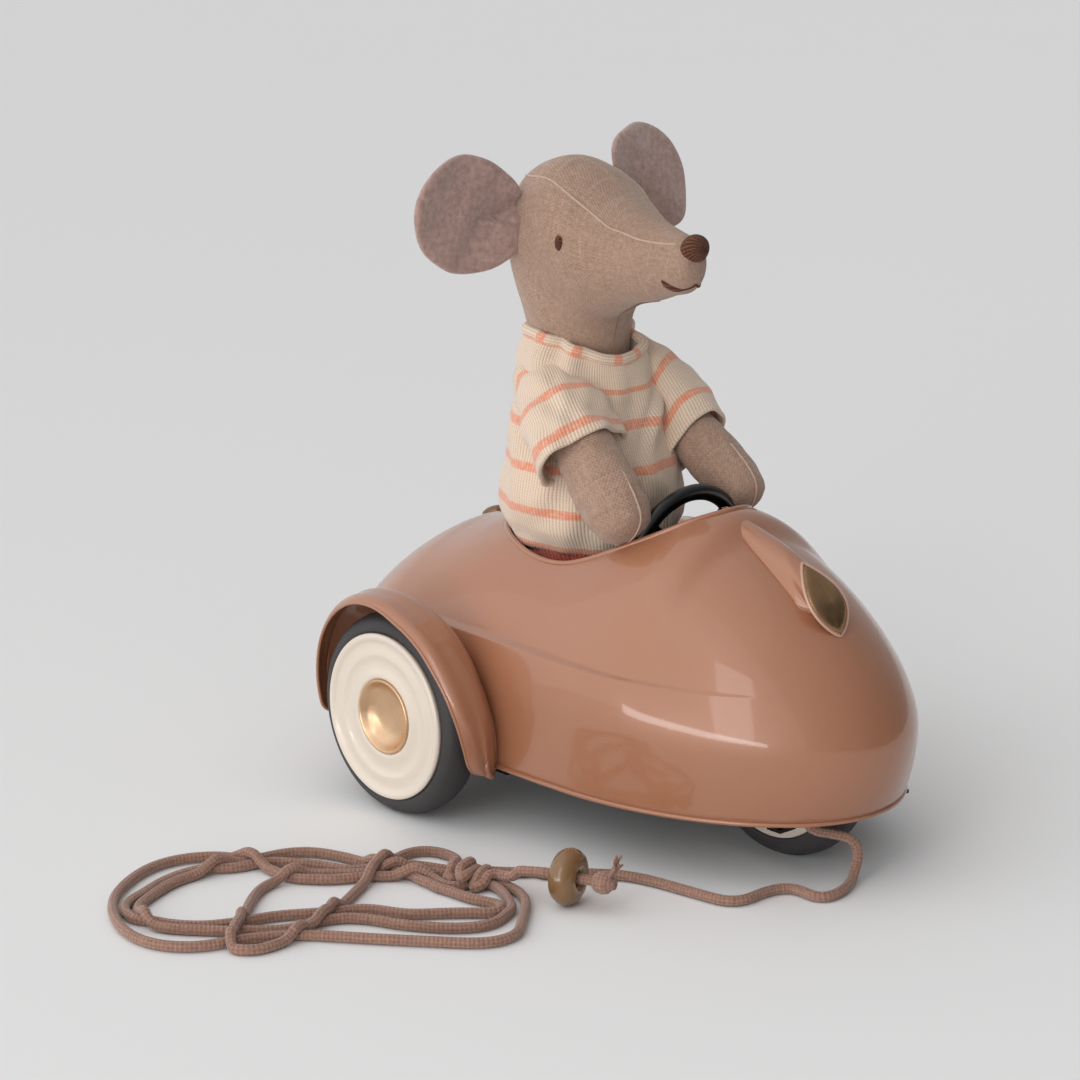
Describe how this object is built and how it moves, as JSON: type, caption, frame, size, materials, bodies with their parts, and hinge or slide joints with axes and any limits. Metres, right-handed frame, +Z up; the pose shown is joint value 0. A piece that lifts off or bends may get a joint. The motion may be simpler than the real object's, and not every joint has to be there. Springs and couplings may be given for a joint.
{
  "type": "pull-along toy car with mouse driver",
  "caption": "Pressed-tin three-wheeled pull-along toy car with a soft cloth mouse driver, a black steering wheel and a coiled pull cord with a bead.",
  "frame": {"origin": "centre of the car's footprint, on the ground the wheels stand on", "axes": "+X towards the nose, +Y towards the car's left side, +Z up"},
  "size_m": [0.1687, 0.2074, 0.1604],
  "materials": {
    "lacquer": "glossy dusty-pink metallic lacquer on pressed tin",
    "cream": "satin cream enamel",
    "brass": "polished brass plate",
    "lens_brass": "dark polished brass",
    "bead": "polished horn-brown resin",
    "dark_steel": "black japanned steel",
    "bright_steel": "bright drawn steel",
    "tyre": "matt dark grey rubber",
    "black_plastic": "gloss black moulding",
    "linen": "greige plain-weave linen, stuffed",
    "felt": "mauve-grey felt",
    "brown_thread": "dark brown embroidery thread",
    "striped_knit": "ecru rib knit with faded orange stripes",
    "red_twill": "washed red twill",
    "cord": "taupe braided cotton"
  },
  "bodies": {
    "car": {"body_shell": "lacquer", "fender_right": "lacquer", "fender_left": "lacquer", "headlight_pod": "lacquer", "headlight_lens": "lens_brass", "filler_cap": "brass", "floor_pan": "dark_steel", "rear_axle_bracket_right": "dark_steel", "rear_axle_bracket_left": "dark_steel", "front_axle_bracket_right": "dark_steel", "front_axle_bracket_left": "dark_steel", "seat_pan": "dark_steel", "dashboard": "dark_steel", "column_bush": "black_plastic", "cord_eyelet": "brass", "cord_lead": "cord", "cord_hank": "cord", "cord_bead_line": "cord", "cord_stop_knot": "cord", "cord_bead": "bead"},
    "rear_wheels": {"rear_axle": "bright_steel", "rear_wheel_disc_right": "cream", "rear_wheel_disc_left": "cream", "rear_tyre_right": "tyre", "rear_tyre_left": "tyre", "rear_hub_cap_right": "brass", "rear_hub_cap_left": "brass"},
    "front_wheel": {"front_wheel_disc": "cream", "front_tyre": "tyre", "front_axle": "bright_steel"},
    "steering": {"steering_wheel": "black_plastic", "steering_column": "bright_steel"},
    "mouse": {"mouse_head": "linen", "mouse_ear_right": "felt", "mouse_ear_left": "felt", "mouse_nose": "brown_thread", "mouse_torso": "linen", "mouse_shirt": "striped_knit", "mouse_shorts": "red_twill", "mouse_leg_right": "linen", "mouse_leg_left": "linen", "mouse_tail": "linen"},
    "arm_right": {"mouse_arm_right": "linen", "shirt_sleeve_right": "striped_knit"},
    "arm_left": {"mouse_arm_left": "linen", "shirt_sleeve_left": "striped_knit"}
  },
  "joints": [
    {"name": "rear_axle_spin", "type": "hinge", "parent": "car", "child": "rear_wheels", "pos_m": [-0.0315, 0, 0.025], "axis": [0, 1, 0], "continuous": true},
    {"name": "front_wheel_spin", "type": "hinge", "parent": "car", "child": "front_wheel", "pos_m": [0.0515, 0, 0.025], "axis": [0, 1, 0], "continuous": true},
    {"name": "steering_turn", "type": "hinge", "parent": "car", "child": "steering", "pos_m": [0.016, 0, 0.0645], "axis": [0.9903, 0, -0.1392], "continuous": true},
    {"name": "mouse_lift", "type": "slide", "parent": "car", "child": "mouse", "axis": [0, 0, 1], "range_m": [0, 0.09]},
    {"name": "right_arm_swing", "type": "hinge", "parent": "mouse", "child": "arm_right", "pos_m": [-0.021, -0.0176, 0.103], "axis": [0, -1, 0], "range_deg": [0, 40]},
    {"name": "left_arm_swing", "type": "hinge", "parent": "mouse", "child": "arm_left", "pos_m": [-0.021, 0.0176, 0.103], "axis": [0, -1, 0], "range_deg": [0, 40]}
  ]
}
